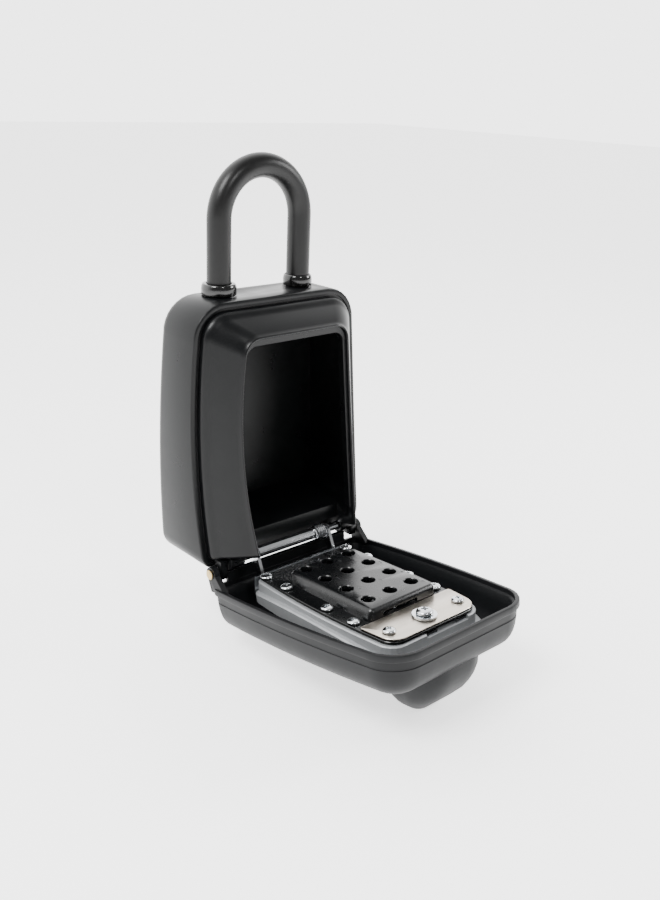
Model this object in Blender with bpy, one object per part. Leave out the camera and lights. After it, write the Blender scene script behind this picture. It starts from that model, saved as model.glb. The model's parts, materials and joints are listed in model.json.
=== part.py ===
"""Portable push-button key lock box, standing open.

A die-cast case hangs from a coated U shackle. Its door, a zinc lock body that
carries the push-button mechanism, swings down on a steel pin, and a soft
weather cover swings with it on two pins of its own. Metres, +Z up, the front
is -Y, and the origin is the underside of the shackle's crown, where it hangs.
"""
import math

import bmesh
import bpy

# ---------------------------------------------------------------- clearances
GAP = 0.0003            # between pieces that rest on each other
RUN = 0.0003            # round a pin or a shaft that turns

# ---------------------------------------------------------------- case
CASE_HALF = 0.0452      # half width where the case is widest
CASE_WIDE_Z = 0.030     # height of the widest place
CASE_BOW = 0.85         # how fast the sides draw in, per metre
CASE_LOW = -0.008
CASE_HIGH = 0.1028
CASE_BACK = 0.028
CASE_R_TOP = 0.015
CASE_R_LOW = 0.008
CASE_R_BACK = 0.005
WALL = 0.004
SEAM_Y = 0.0027         # front edge of the box, at the top
SEAM_TOP = 0.085
SEAM_CURVE = 1.0
LIP = 0.0022            # width of the box's front edge
GROOVE = 0.0014         # width of the groove inside it
GROOVE_DEEP = 0.0009

# ---------------------------------------------------------------- mouth
RIM_HALF = 0.0303       # outer edge of the rim round the opening
RIM_WIDE_Z = 0.0423
RIM_BOW = 1.42
RIM_LOW = 0.0
RIM_HIGH = 0.0909
RIM_R = 0.0062
RIM_R_LOW = 0.0020
RIM_Y = -0.0112         # the rim's front at the top
RIM_TOP = 0.080
RIM_CURVE = 1.68
RIM_FLAT = 0.0009
RIM_STEP = 0.0016       # depth of the step inside the rim
MOUTH_IN = 0.0020       # from the rim's outer edge to the mouth's wall
MOUTH_TOP = 0.0042      # the same at the top, where the latch catches
MOUTH_R = 0.0035
MOUTH_DEEP = 0.005

STRIKE_X = (-0.0078, 0.0178)
STRIKE_Y = -0.0085
STRIKE_T = 0.0007
STRIKE_BACK = 0.0070
STRIKE_LOW, STRIKE_HIGH = 0.0864, 0.0902

# ---------------------------------------------------------------- cavity
CAVITY_HALF = CASE_HALF - 0.0072
CAVITY_FLOOR = 0.0070
CAVITY_HIGH = CASE_HIGH - 0.0133
CAVITY_R = 0.005
SHELF_Y = -0.0094        # front of the floor, above the hinge
SHELF_LOW = 0.0003
HINGE_HALF = 0.0270     # half width of the recess for the hinge
HINGE_BACK = -0.0030
PIN_R = 0.0018
BOSS_R = PIN_R + 0.0015 # bosses that hold the ends of the hinge pin
BOSS_IN, BOSS_OUT = 0.0276, 0.0345

# ---------------------------------------------------------------- shackle
ROD_R = 0.005
LEG_X = 0.0208
SHACKLE_Y = 0.016
CROWN_Z = CASE_HIGH + 0.0507       # centre line of the rod at the crown
LEG_DEEP = 0.011        # how far each leg reaches into the case
COLLAR_R = {"left": ROD_R + 0.0023, "right": ROD_R + 0.0013}
COLLAR_HIGH = 0.0046
HANG_Z = CROWN_Z - ROD_R

# ---------------------------------------------------------------- door
PIVOT_Y = -0.0092
PIVOT_Z = -0.0044
DOOR_OPEN = math.radians(86.5)
PIN_HALF = 0.033
TUBE_R = PIN_R + 0.0007
TUBE_FROM, TUBE_TO = -0.0190, 0.0120
SPRING_TURNS = 5
SPRING_WIRE = 0.00045
HINGE_WASHER_T = 0.0008
EAR_X = 0.0203
EAR_T = 0.0015
EAR_R = PIN_R + 0.0008
STRIP_HALF = 0.0252     # the steel strip that carries the ears
PLUG_HALF = 0.0277
PLUG_LOW = 0.0073
PLUG_HIGH = 0.0885
PLUG_WIDE = 0.0465
PLUG_R = 0.0075
PLUG_TOP = -0.0082      # inner face of the lock body
SHEET = 0.0011          # steel sheet, and the flange of the black cover
FLANGE_OUT = 0.0020     # how far the door's flange stands out of the plug
FLANGE_LOW = 0.0067
FLANGE_HIGH = 0.0922
FACE = -0.0177          # outer face of the door
FACE_T = 0.0034
MATE = -0.0106          # the flange's seat, at mid length
MATE_CURVE = 1.7
MATE_MID = 0.0455
WELL_HALF = 0.0205
WELL_LOW, WELL_HIGH = 0.0150, 0.0745

# ---------------------------------------------------------------- mechanism
BOX_HALF = 0.0185
BOX_LOW, BOX_HIGH = 0.0203, 0.0703
BOX_TOP = -0.0015
BOX_R = 0.003
BOX_WALL = 0.0013
WALL_SLOT = (-0.012, 0.007)         # slot in the end wall of the box
COVER_LOW, COVER_HIGH = 0.0082, 0.0876
COVER_HALF = 0.0262
KEY_X = 0.012           # pitch across
KEY_Z = 0.0124          # pitch along
KEY_FIRST = 0.0244      # the row next to the hinge
KEY_HOLE_R = 0.0023
KEY_R = 0.0040
KEY_STEM_R = 0.0018
KEY_FLANGE_R = 0.0048
KEY_PROUD = 0.0011
KEY_FLANGE_T = 0.0009
KEY_SUNK = 0.0020       # the stem ends this far below the box's top
PLATE_LOW = BOX_HIGH + GAP
PLATE_T = 0.0008
FLANGE_TOP = PLUG_TOP + GAP + SHEET
PLATE_SEAT = FLANGE_TOP + GAP
PLATE_TOP = PLATE_SEAT + PLATE_T
PLATE_HALF = 0.0258
SLIDE_LOW, SLIDE_HIGH = 0.0200, 0.0692
SLIDE_HALF = 0.0175
SLIDE_Y = -0.0110
SLIDE_TRAVEL = 0.0044
LATCH_Y = -0.0089
LATCH_T = 0.0012
TONGUES = ((-0.0035, 0.0030), (0.0140, 0.0026))
KNOB_Z = 0.0806
KNOB_R = 0.0085
KNOB_HIGH = 0.0095
KNOB_SKIRT = 0.0034
WING_HALF = 0.0036
KNOB_WASHER_R, KNOB_WASHER_T = 0.0050, 0.0008
KNOB_SCREW_R, KNOB_SCREW_RISE = 0.0034, 0.0017
SHAFT_R = 0.0020
CLEAR_X = 0.0215
CLEAR_HALF = 0.0016      # half width of its groove
CLEAR_T = 0.0020
CLEAR_PROUD = 0.0008
CLEAR_BACK = 0.0025
CLEAR_ROOM = 0.0050
SCREW_X = 0.0228
SCREW_ROWS = (0.0113, 0.0248, 0.0498, 0.0650)
PLATE_SCREW_X = 0.0192
THREAD_R = 0.0011
HEAD_R = 0.0023
SHANK_R = 0.0008
CLEAR_HOLE_R = 0.0013
CLEAR_Z = 0.0783

# ---------------------------------------------------------------- weather cover
HOOD_Y = -0.0075        # its hinge line
HOOD_Z = -0.0085
HOOD_OPEN = math.radians(82.25)
HOOD_RIM = -0.00575
HOOD_HALF = CASE_HALF - 0.0021
HOOD_WIDE = 0.029
HOOD_BOW = 0.92
HOOD_LOW = -0.0015
HOOD_HIGH = 0.1048
HOOD_DEEP = 0.0195
HOOD_WALL = 0.0018
HOOD_R_END = 0.0150
HOOD_R_HINGE = 0.0060
HOOD_LIP = 0.0010
HOOD_LIP_HIGH = 0.0026
NOSE = (                # depth below the rim, near end, far end, half width
    (0.0152, 0.0660, 0.1003, 0.0186),
    (0.0207, 0.0668, 0.1003, 0.0178),
    (0.0281, 0.0690, 0.0965, 0.0160),
    (0.0330, 0.0715, 0.0918, 0.0135),
    (0.0365, 0.0740, 0.0878, 0.0105),
    (0.0386, 0.0765, 0.0848, 0.0070),
)
HOOD_EAR = CASE_HALF - 0.0060
HOOD_EAR_T = 0.0026
HOOD_EAR_R = 0.0030
APRON_HALF = 0.0335     # lip at the hinge end that closes the gap under the case
APRON_LOW, APRON_HIGH = -0.0012, 0.0002
APRON_TOP = -0.0009
HOOD_PIN_R = 0.0012
HOOD_HEAD_R = 0.0021
LUG_IN = HOOD_EAR - 0.0042   # the cover's pins reach this far into the case's lugs
LUG_R = 0.0027
LUG_BACK = 0.0038
LUG_HIGH = -0.0030

CORNER = 6
SIDE = 7


# ---------------------------------------------------------------- helpers
def clear_scene():
    for old in list(bpy.data.objects):
        bpy.data.objects.remove(old, do_unlink=True)


def material(name, colour, roughness, metallic):
    made = bpy.data.materials.new(name)
    made.use_nodes = True
    shader = made.node_tree.nodes["Principled BSDF"]
    shader.inputs["Base Color"].default_value = (*colour, 1.0)
    shader.inputs["Roughness"].default_value = roughness
    shader.inputs["Metallic"].default_value = metallic
    return made


def empty(name, place, parent=None, turn=0.0):
    made = bpy.data.objects.new(name, None)
    made.location = place
    made.rotation_euler = (turn, 0.0, 0.0)
    made.parent = parent
    bpy.context.scene.collection.objects.link(made)
    return made


def finish(name, bm, finish_material, parent, origin=(0.0, 0.0, 0.0), smooth=40.0):
    """Turn a bmesh into a named object with its origin on its own axis."""
    bmesh.ops.remove_doubles(bm, verts=bm.verts, dist=1e-6)
    bmesh.ops.recalc_face_normals(bm, faces=bm.faces)
    bmesh.ops.translate(bm, verts=bm.verts, vec=[-v for v in origin])
    mesh = bpy.data.meshes.new(name)
    bm.to_mesh(mesh)
    bm.free()
    mesh.shade_smooth()
    mesh.set_sharp_from_angle(angle=math.radians(smooth))
    made = bpy.data.objects.new(name, mesh)
    made.data.materials.append(finish_material)
    made.parent = parent
    made.location = origin
    bpy.context.scene.collection.objects.link(made)
    return made


def loft(bm, rings):
    """Join rings of equally many points, and close both ends."""
    rows = [[bm.verts.new(point) for point in ring] for ring in rings]
    for low, high in zip(rows, rows[1:]):
        count = len(low)
        for i in range(count):
            j = (i + 1) % count
            bm.faces.new((low[i], low[j], high[j], high[i]))
    bm.faces.new(rows[0])
    bm.faces.new(list(reversed(rows[-1])))


def side_x(half, bow, wide, z):
    return half - bow * (z - wide) ** 2


def outline(half, bow, wide, low, high, r_low, r_high, inset=0.0):
    """Barrel-sided outline in X and Z with round corners, counter-clockwise."""
    low, high = low + inset, high - inset
    r_low = max(r_low - inset, 0.0008)
    r_high = max(r_high - inset, 0.0008)
    half -= inset
    right = []
    for i in range(CORNER + 1):
        turn = math.pi / 2 * i / CORNER
        x = side_x(half, bow, wide, low + r_low) - r_low + r_low * math.sin(turn)
        right.append((x, low + r_low - r_low * math.cos(turn)))
    for i in range(1, SIDE):
        z = low + r_low + (high - r_high - low - r_low) * i / SIDE
        right.append((side_x(half, bow, wide, z), z))
    for i in range(CORNER + 1):
        turn = math.pi / 2 * i / CORNER
        x = side_x(half, bow, wide, high - r_high) - r_high + r_high * math.cos(turn)
        right.append((x, high - r_high + r_high * math.sin(turn)))
    return right + [(-x, z) for x, z in reversed(right)]


def ring(points, depth):
    """Give an outline its Y, a number or a function of Z."""
    if callable(depth):
        return [(x, depth(z), z) for x, z in points]
    return [(x, depth, z) for x, z in points]


def box(bm, x, y, z):
    made = bmesh.ops.create_cube(bm, size=1.0)["verts"]
    bmesh.ops.scale(bm, verts=made, vec=(x[1] - x[0], y[1] - y[0], z[1] - z[0]))
    middle = [(a + b) / 2 for a, b in (x, y, z)]
    bmesh.ops.translate(bm, verts=made, vec=middle)


def turned(bm, profile, axis, place, steps=16):
    """Revolve (radius, along) pairs round an axis; a zero radius closes an end."""
    rings = []
    for radius, along in profile:
        points = []
        for i in range(steps):
            a = 2 * math.pi * (i + 0.5) / steps
            c, s = radius * math.cos(a), radius * math.sin(a)
            local = {"X": (along, c, s), "Y": (c, along, s), "Z": (c, s, along)}[axis]
            points.append([p + q for p, q in zip(place, local)])
        rings.append(points)
    loft(bm, rings)


def tube_ring(bm, outer, inner, low, high, axis, place, steps=16):
    """A plain bush: outer wall, bore and two flat ends."""
    loops = []
    for radius, along in ((outer, low), (outer, high), (inner, high), (inner, low)):
        points = []
        for i in range(steps):
            a = 2 * math.pi * (i + 0.5) / steps
            c, s = radius * math.cos(a), radius * math.sin(a)
            local = {"X": (along, c, s), "Y": (c, along, s), "Z": (c, s, along)}[axis]
            points.append(bm.verts.new([p + q for p, q in zip(place, local)]))
        loops.append(points)
    for k in range(4):
        a, b = loops[k], loops[(k + 1) % 4]
        for i in range(steps):
            j = (i + 1) % steps
            bm.faces.new((a[i], a[j], b[j], b[i]))


def cut(target, name, bm, operation="DIFFERENCE"):
    """Boolean a bmesh, given in the target's own frame, into the target."""
    bmesh.ops.remove_doubles(bm, verts=bm.verts, dist=1e-6)
    bmesh.ops.recalc_face_normals(bm, faces=bm.faces)
    bmesh.ops.translate(bm, verts=bm.verts, vec=[-v for v in target.location])
    mesh = bpy.data.meshes.new(name)
    bm.to_mesh(mesh)
    bm.free()
    cutter = bpy.data.objects.new(name, mesh)
    cutter.parent = target
    cutter.hide_render = True
    cutter.display_type = "WIRE"
    bpy.context.scene.collection.objects.link(cutter)
    step = target.modifiers.new(name, "BOOLEAN")
    step.operation = operation
    step.solver = "EXACT"
    step.use_self = operation == "DIFFERENCE"
    step.object = cutter


# ---------------------------------------------------------------- curves of the front
def seam_y(z):
    return SEAM_Y - SEAM_CURVE * min(z - SEAM_TOP, 0.0) ** 2


def rim_y(z):
    return RIM_Y - RIM_CURVE * min(z - RIM_TOP, 0.0) ** 2


def mate_y(z):
    return MATE - MATE_CURVE * (z - MATE_MID) ** 2


def case_line(inset):
    return outline(CASE_HALF, CASE_BOW, CASE_WIDE_Z, CASE_LOW, CASE_HIGH,
                   CASE_R_LOW, CASE_R_TOP, inset)


def rim_line(inset):
    return outline(RIM_HALF, RIM_BOW, RIM_WIDE_Z, RIM_LOW, RIM_HIGH, RIM_R_LOW, RIM_R, inset)


def plug_line(inset):
    return outline(PLUG_HALF, RIM_BOW, PLUG_WIDE, PLUG_LOW, PLUG_HIGH, 0.004, PLUG_R, inset)


def flange_line(inset):
    return outline(PLUG_HALF + FLANGE_OUT, RIM_BOW, PLUG_WIDE, FLANGE_LOW, FLANGE_HIGH,
                   0.006, 0.010, inset)


def hood_line(inset):
    return outline(HOOD_HALF, HOOD_BOW, HOOD_WIDE, HOOD_LOW, HOOD_HIGH,
                   HOOD_R_HINGE, HOOD_R_END, inset)


# ---------------------------------------------------------------- case pieces
def case_body(parent, paint):
    bm = bmesh.new()
    rings = []
    for i in range(4):
        a = math.pi / 2 * i / 3
        rings.append(ring(case_line(CASE_R_BACK * (1 - math.sin(a))),
                          CASE_BACK - CASE_R_BACK * (1 - math.cos(a))))
    rings.append(ring(case_line(0.0), lambda z: seam_y(z) + 0.0007))
    rings.append(ring(case_line(0.0006), seam_y))
    rings.append(ring(case_line(LIP), seam_y))
    rings.append(ring(case_line(LIP), lambda z: seam_y(z) + GROOVE_DEEP))
    rings.append(ring(case_line(LIP + GROOVE), lambda z: seam_y(z) + GROOVE_DEEP))
    rings.append(ring(case_line(LIP + GROOVE), lambda z: seam_y(z) - 0.0010))
    rings.append(ring(case_line(LIP + GROOVE + 0.0007), lambda z: seam_y(z) - 0.0024))
    rings.append(ring(case_line(LIP + GROOVE + 0.0020), lambda z: seam_y(z) - 0.0036))
    rings.append(ring(rim_line(0.0), lambda z: rim_y(z) + 0.0007))
    rings.append(ring(rim_line(0.0003), lambda z: rim_y(z) + 0.0002))
    rings.append(ring(rim_line(0.0006), rim_y))
    rings.append(ring(rim_line(RIM_FLAT), rim_y))
    rings.append(ring(rim_line(RIM_FLAT), lambda z: rim_y(z) + RIM_STEP))
    mouth = outline(RIM_HALF - MOUTH_IN, RIM_BOW, RIM_WIDE_Z, RIM_LOW + MOUTH_IN,
                    RIM_HIGH - MOUTH_TOP, RIM_R_LOW, MOUTH_R)
    rings.append(ring(mouth, lambda z: rim_y(z) + RIM_STEP))
    rings.append(ring(mouth, lambda z: rim_y(z) + MOUTH_DEEP))
    cavity = outline(CAVITY_HALF, CASE_BOW, CASE_WIDE_Z, CAVITY_FLOOR, CAVITY_HIGH,
                     CAVITY_R, CAVITY_R)
    rings.append(ring(cavity, lambda z: rim_y(z) + MOUTH_DEEP + 0.006))
    rings.append(ring(cavity, CASE_BACK - WALL))
    loft(bm, rings)
    case = finish("case_body", bm, paint, parent)

    lugs = bmesh.new()
    for sign in (-1, 1):
        near, far = sorted((sign * (BOSS_OUT + 0.0005), sign * (HOOD_EAR - 2 * GAP)))
        box(lugs, (near, far), (HOOD_Y - LUG_R, HOOD_Y + LUG_BACK), (HOOD_Z - LUG_R, LUG_HIGH))
        turned(lugs, ((BOSS_R, sign * BOSS_IN), (BOSS_R, sign * BOSS_OUT)), "X",
               (0.0, PIVOT_Y, PIVOT_Z), 20)
    cut(case, "case_lugs", lugs, "UNION")

    recess = bmesh.new()
    profile = ((-0.05, CAVITY_FLOOR + 0.0010), (SHELF_Y, CAVITY_FLOOR + 0.0010),
               (SHELF_Y, SHELF_LOW), (HINGE_BACK, SHELF_LOW), (HINGE_BACK, -0.03),
               (-0.05, -0.03))
    loft(recess, [[(x, y, z) for y, z in profile] for x in (-HINGE_HALF, HINGE_HALF)])
    cut(case, "hinge_recess", recess)

    notch = bmesh.new()
    box(notch, (STRIKE_X[0] - GAP, STRIKE_X[1] + GAP), (STRIKE_Y - GAP, STRIKE_Y + STRIKE_BACK),
        (STRIKE_LOW - 0.003, STRIKE_HIGH + GAP))
    cut(case, "strike_notch", notch)

    bores = bmesh.new()
    reach = PIN_HALF + GAP
    turned(bores, ((PIN_R + RUN, -reach), (PIN_R + RUN, reach)), "X", (0.0, PIVOT_Y, PIVOT_Z))
    for sign in (-1, 1):
        turned(bores, ((ROD_R + RUN, 0.0), (ROD_R + RUN, LEG_DEEP + 0.01)), "Z",
               (sign * LEG_X, SHACKLE_Y, CASE_HIGH - LEG_DEEP - GAP), 20)
        turned(bores, ((HOOD_PIN_R + RUN, 0.0), (HOOD_PIN_R + RUN, sign * 0.004)), "X",
               (sign * (LUG_IN + 0.001), HOOD_Y, HOOD_Z), 12)
        turned(bores, ((HOOD_EAR_R + GAP, -sign * GAP), (HOOD_EAR_R + GAP, sign * 0.01)), "X",
               (sign * HOOD_EAR, HOOD_Y, HOOD_Z), 20)
    cut(case, "case_bores", bores)
    return case


def strike_plate(parent, steel):
    """Steel plate behind the top of the mouth, which the latch catches on."""
    bm = bmesh.new()
    box(bm, STRIKE_X, (STRIKE_Y, STRIKE_Y + STRIKE_T), (STRIKE_LOW, STRIKE_HIGH))
    bmesh.ops.bevel(bm, geom=list(bm.edges), offset=0.0002, segments=1, affect="EDGES")
    return finish("strike_plate", bm, steel, parent)


def shackle(parent, coat):
    bm = bmesh.new()
    radius = LEG_X
    centre = CROWN_Z - radius
    foot = CASE_HIGH - LEG_DEEP
    path = [(-LEG_X, foot), (-LEG_X, foot + 0.001), (-LEG_X, (foot + centre) / 2)]
    for i in range(17):
        a = math.pi - math.pi * i / 16
        path.append((radius * math.cos(a), centre + radius * math.sin(a)))
    path += [(LEG_X, (foot + centre) / 2), (LEG_X, foot + 0.001), (LEG_X, foot)]
    rings = []
    last = len(path) - 1
    for k, (x, z) in enumerate(path):
        before, after = path[max(k - 1, 0)], path[min(k + 1, last)]
        tx, tz = after[0] - before[0], after[1] - before[1]
        size = math.hypot(tx, tz)
        nx, nz = -tz / size, tx / size
        rod = ROD_R - (0.0008 if k in (0, last) else 0.0)
        points = []
        for i in range(16):
            a = 2 * math.pi * i / 16
            c, s = rod * math.cos(a), rod * math.sin(a)
            points.append((x + nx * c, SHACKLE_Y + s, z + nz * c))
        rings.append(points)
    loft(bm, rings)
    return finish("shackle", bm, coat, parent, (0.0, SHACKLE_Y, CASE_HIGH))


def shackle_collar(side, sign, parent, rubber):
    """Glossy ring that seals a shackle leg where it enters the case."""
    bm = bmesh.new()
    outer, inner = COLLAR_R[side], ROD_R + RUN
    low = CASE_HIGH + GAP
    profile = [(outer, low), (outer, low + 0.4 * COLLAR_HIGH)]
    for i in range(1, 4):
        a = math.pi / 2 * i / 3
        profile.append((outer - 0.0008 * (1 - math.cos(a)),
                        low + 0.4 * COLLAR_HIGH + 0.6 * COLLAR_HIGH * math.sin(a)))
    profile += [(inner, low + COLLAR_HIGH), (inner, low)]
    steps = 20
    loops = []
    turns = [2 * math.pi * i / steps for i in range(steps)]
    for radius, z in profile:
        loops.append([bm.verts.new((sign * LEG_X + radius * math.cos(a),
                                    SHACKLE_Y + radius * math.sin(a), z)) for a in turns])
    for k, a in enumerate(loops):
        b = loops[(k + 1) % len(loops)]
        for i in range(steps):
            j = (i + 1) % steps
            bm.faces.new((a[i], a[j], b[j], b[i]))
    return finish("shackle_collar_" + side, bm, rubber, parent)


# ---------------------------------------------------------------- hinge pieces
def hinge_pieces(case, door, steel, spring_steel):
    place = (0.0, PIVOT_Y, PIVOT_Z)
    bm = bmesh.new()
    turned(bm, ((PIN_R - 0.0003, -PIN_HALF), (PIN_R, -PIN_HALF + 0.0003),
                (PIN_R, PIN_HALF - 0.0003), (PIN_R - 0.0003, PIN_HALF)), "X", place)
    finish("door_hinge_pin", bm, steel, case, place)
    bm = bmesh.new()
    tube_ring(bm, TUBE_R, PIN_R + RUN, TUBE_FROM, TUBE_TO, "X", place, 20)
    finish("hinge_tube", bm, steel, case, place)
    bm = bmesh.new()
    tube_ring(bm, TUBE_R + 0.0005, PIN_R + RUN, TUBE_TO + GAP,
              TUBE_TO + GAP + HINGE_WASHER_T, "X", place, 20)
    finish("hinge_washer", bm, steel, case, place)

    bm = bmesh.new()
    start = TUBE_TO + 2 * GAP + HINGE_WASHER_T + SPRING_WIRE
    length = EAR_X - EAR_T / 2 - GAP - SPRING_WIRE - start
    coil_r = PIN_R + RUN + SPRING_WIRE + 0.0002
    steps = 12
    rings = []
    for k in range(SPRING_TURNS * steps + 1):
        a = 2 * math.pi * k / steps
        middle = (start + length * k / (SPRING_TURNS * steps),
                  PIVOT_Y + coil_r * math.cos(a), PIVOT_Z + coil_r * math.sin(a))
        points = []
        for i in range(6):
            b = 2 * math.pi * i / 6
            out = SPRING_WIRE * math.cos(b)
            points.append((middle[0] + SPRING_WIRE * math.sin(b),
                           middle[1] + out * math.cos(a), middle[2] + out * math.sin(a)))
        rings.append(points)
    loft(bm, rings)
    finish("hinge_spring", bm, spring_steel, case, place)

    bm = bmesh.new()
    back = FLANGE_LOW - GAP
    top, foot = PLUG_TOP + 0.0006, FACE + 0.0030
    box(bm, (-STRIP_HALF, STRIP_HALF), (foot, top), (back - SHEET, back))
    bracket = finish("hinge_bracket", bm, steel, door)
    ears = bmesh.new()
    far = back - 0.0002
    upper, lower = (top - 0.0008, far), (foot + 0.0008, far)
    start = math.atan2(upper[1], upper[0]) - math.acos(EAR_R / math.hypot(*upper))
    stop = math.atan2(lower[1], lower[0]) + math.acos(EAR_R / math.hypot(*lower)) - 2 * math.pi
    profile = [lower, upper]
    for i in range(9):
        a = start + (stop - start) * i / 8
        profile.append((EAR_R * math.cos(a), EAR_R * math.sin(a)))
    for sign in (-1, 1):
        span = (sign * EAR_X - EAR_T / 2, sign * EAR_X + EAR_T / 2)
        loft(ears, [[(x, y, z) for y, z in profile] for x in span])
    cut(bracket, "hinge_ears", ears, "UNION")
    bores = bmesh.new()
    turned(bores, ((PIN_R + RUN, -0.03), (PIN_R + RUN, 0.03)), "X", (0.0, 0.0, 0.0))
    cut(bracket, "hinge_bracket_bores", bores)


# ---------------------------------------------------------------- lock body
def key_places():
    names = ("7", "8", "9", "4", "5", "6", "1", "2", "3", "a", "0", "b")
    for i, name in enumerate(names):
        column, row = i % 3, 3 - i // 3
        yield name, (column - 1) * KEY_X, KEY_FIRST + row * KEY_Z


def door_housing(parent, zinc):
    bm = bmesh.new()
    rings = [ring(plug_line(0.0005), PLUG_TOP), ring(plug_line(0.0), PLUG_TOP - 0.0004),
             ring(plug_line(0.0), lambda z: mate_y(z) + 0.0002),
             ring(flange_line(0.0006), mate_y),
             ring(flange_line(0.0), lambda z: mate_y(z) - 0.0006),
             ring(flange_line(0.0004), FACE + 0.0008),
             ring(flange_line(0.0014), FACE)]
    loft(bm, rings)
    housing = finish("door_housing", bm, zinc, parent)
    well = bmesh.new()
    loft(well, [ring(outline(WELL_HALF, 0.0, 0.0, WELL_LOW, WELL_HIGH, 0.003, 0.003), y)
                for y in (FACE + FACE_T, PLUG_TOP + 0.002)])
    cut(housing, "mechanism_well", well)
    holes = bmesh.new()
    for _, x, z in key_places():
        turned(holes, ((KEY_R + RUN, FACE - 0.001), (KEY_R + RUN, FACE + FACE_T + 0.001)), "Y",
               (x, 0.0, z), 14)
    turned(holes, ((SHAFT_R + RUN, FACE - 0.001), (SHAFT_R + RUN, PLUG_TOP + 0.001)), "Y",
           (0.0, 0.0, KNOB_Z), 14)
    cut(housing, "key_holes", holes)
    slot = bmesh.new()
    first, second = TONGUES
    box(slot, (first[0] - first[1] - RUN, second[0] + second[1] + RUN),
        (LATCH_Y - LATCH_T / 2 - RUN, PLUG_TOP + 0.002), (WELL_HIGH - 0.002, PLUG_HIGH + 0.002))
    cut(housing, "latch_slot", slot)
    threads = bmesh.new()
    for x, z in list(screw_places()) + list(plate_screw_places()):
        turned(threads, ((THREAD_R, PLUG_TOP - 0.0045), (THREAD_R, PLUG_TOP + 0.001)), "Y",
               (x, 0.0, z), 10)
    box(threads, (CLEAR_X - CLEAR_HALF, CLEAR_X + CLEAR_HALF),
        (FACE - 0.001, FACE + CLEAR_T + 0.0005), (CLEAR_Z - CLEAR_ROOM, CLEAR_Z + CLEAR_BACK))
    cut(housing, "screw_holes", threads)
    return housing


def screw_places():
    """The black cover's flange screws, row by row from the hinge."""
    for z in SCREW_ROWS:
        for sign in (-1, 1):
            yield sign * SCREW_X, z


def plate_screw_places():
    for sign in (-1, 1):
        yield sign * PLATE_SCREW_X, KNOB_Z


def mechanism_cover(parent, black):
    """Black moulding over the mechanism: a flat flange and a raised box."""
    bm = bmesh.new()
    low = PLUG_TOP + GAP
    high = low + SHEET
    flange = outline(COVER_HALF, RIM_BOW, PLUG_WIDE, COVER_LOW, COVER_HIGH, 0.0012,
                     PLUG_R - 0.0006)
    inner = outline(BOX_HALF, 0.0, 0.0, BOX_LOW, BOX_HIGH, BOX_R, BOX_R)

    def raised(inset):
        return outline(BOX_HALF, 0.0, 0.0, BOX_LOW, BOX_HIGH, BOX_R, BOX_R, inset)

    rings = [ring(raised(BOX_WALL + 0.0004), BOX_TOP - BOX_WALL),
             ring(raised(BOX_WALL), low), ring(flange, low), ring(flange, high),
             ring(inner, high), ring(raised(0.0004), BOX_TOP - 0.0007),
             ring(raised(0.0010), BOX_TOP)]
    loft(bm, rings)
    made = finish("mechanism_cover", bm, black, parent)
    holes = bmesh.new()
    for _, x, z in key_places():
        turned(holes, ((KEY_HOLE_R, BOX_TOP - 0.003), (KEY_HOLE_R, BOX_TOP + 0.001)), "Y",
               (x, 0.0, z), 16)
    for x, z in list(screw_places()) + list(plate_screw_places()):
        turned(holes, ((CLEAR_HOLE_R, low - 0.001), (CLEAR_HOLE_R, high + 0.001)), "Y",
               (x, 0.0, z), 10)
    turned(holes, ((SHAFT_R + RUN, low - 0.001), (SHAFT_R + RUN, high + 0.001)), "Y",
           (0.0, 0.0, KNOB_Z), 14)
    box(holes, WALL_SLOT, (PLATE_TOP + 0.0002, PLATE_TOP + 0.0018),
        (BOX_HIGH - 0.004, BOX_HIGH + 0.001))
    cut(made, "cover_holes", holes)
    return made


def end_plate(parent, steel):
    bm = bmesh.new()
    shape = outline(PLATE_HALF, RIM_BOW, PLUG_WIDE, PLATE_LOW, COVER_HIGH, 0.0006,
                    PLUG_R - 0.0006)
    loft(bm, [ring(shape, PLATE_SEAT), ring(shape, PLATE_TOP)])
    made = finish("end_plate", bm, steel, parent)
    holes = bmesh.new()
    span = (PLATE_SEAT - 0.001, PLATE_TOP + 0.001)
    for x, z in plate_screw_places():
        turned(holes, [(CLEAR_HOLE_R, y) for y in span], "Y", (x, 0.0, z), 10)
    turned(holes, [(SHAFT_R + RUN, y) for y in span], "Y", (0.0, 0.0, KNOB_Z), 14)
    cut(made, "end_plate_holes", holes)
    return made


def pan_screw(name, x, z, seat, head_r, shank_r, depth, parent, steel):
    """Pan-head screw with a cross recess, its head on the seat."""
    bm = bmesh.new()
    rise = 0.55 * head_r
    profile = [(shank_r, seat - depth), (shank_r, seat), (head_r, seat),
               (head_r, seat + 0.35 * rise), (0.86 * head_r, seat + 0.78 * rise),
               (0.5 * head_r, seat + rise)]
    turned(bm, profile, "Y", (x, 0.0, z), 12)
    return finish(name, bm, steel, parent, (x, 0.0, z))


def screws(door, steel):
    for i, (x, z) in enumerate(screw_places()):
        name = "flange_screw_%s_%d" % (("left", "right")[i % 2], i // 2 + 1)
        pan_screw(name, x, z, FLANGE_TOP + GAP, HEAD_R, SHANK_R, 0.005, door, steel)
    for side, (x, z) in zip(("left", "right"), plate_screw_places()):
        pan_screw("end_plate_screw_" + side, x, z, PLATE_TOP + GAP, HEAD_R, SHANK_R, 0.0055,
                  door, steel)


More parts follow.
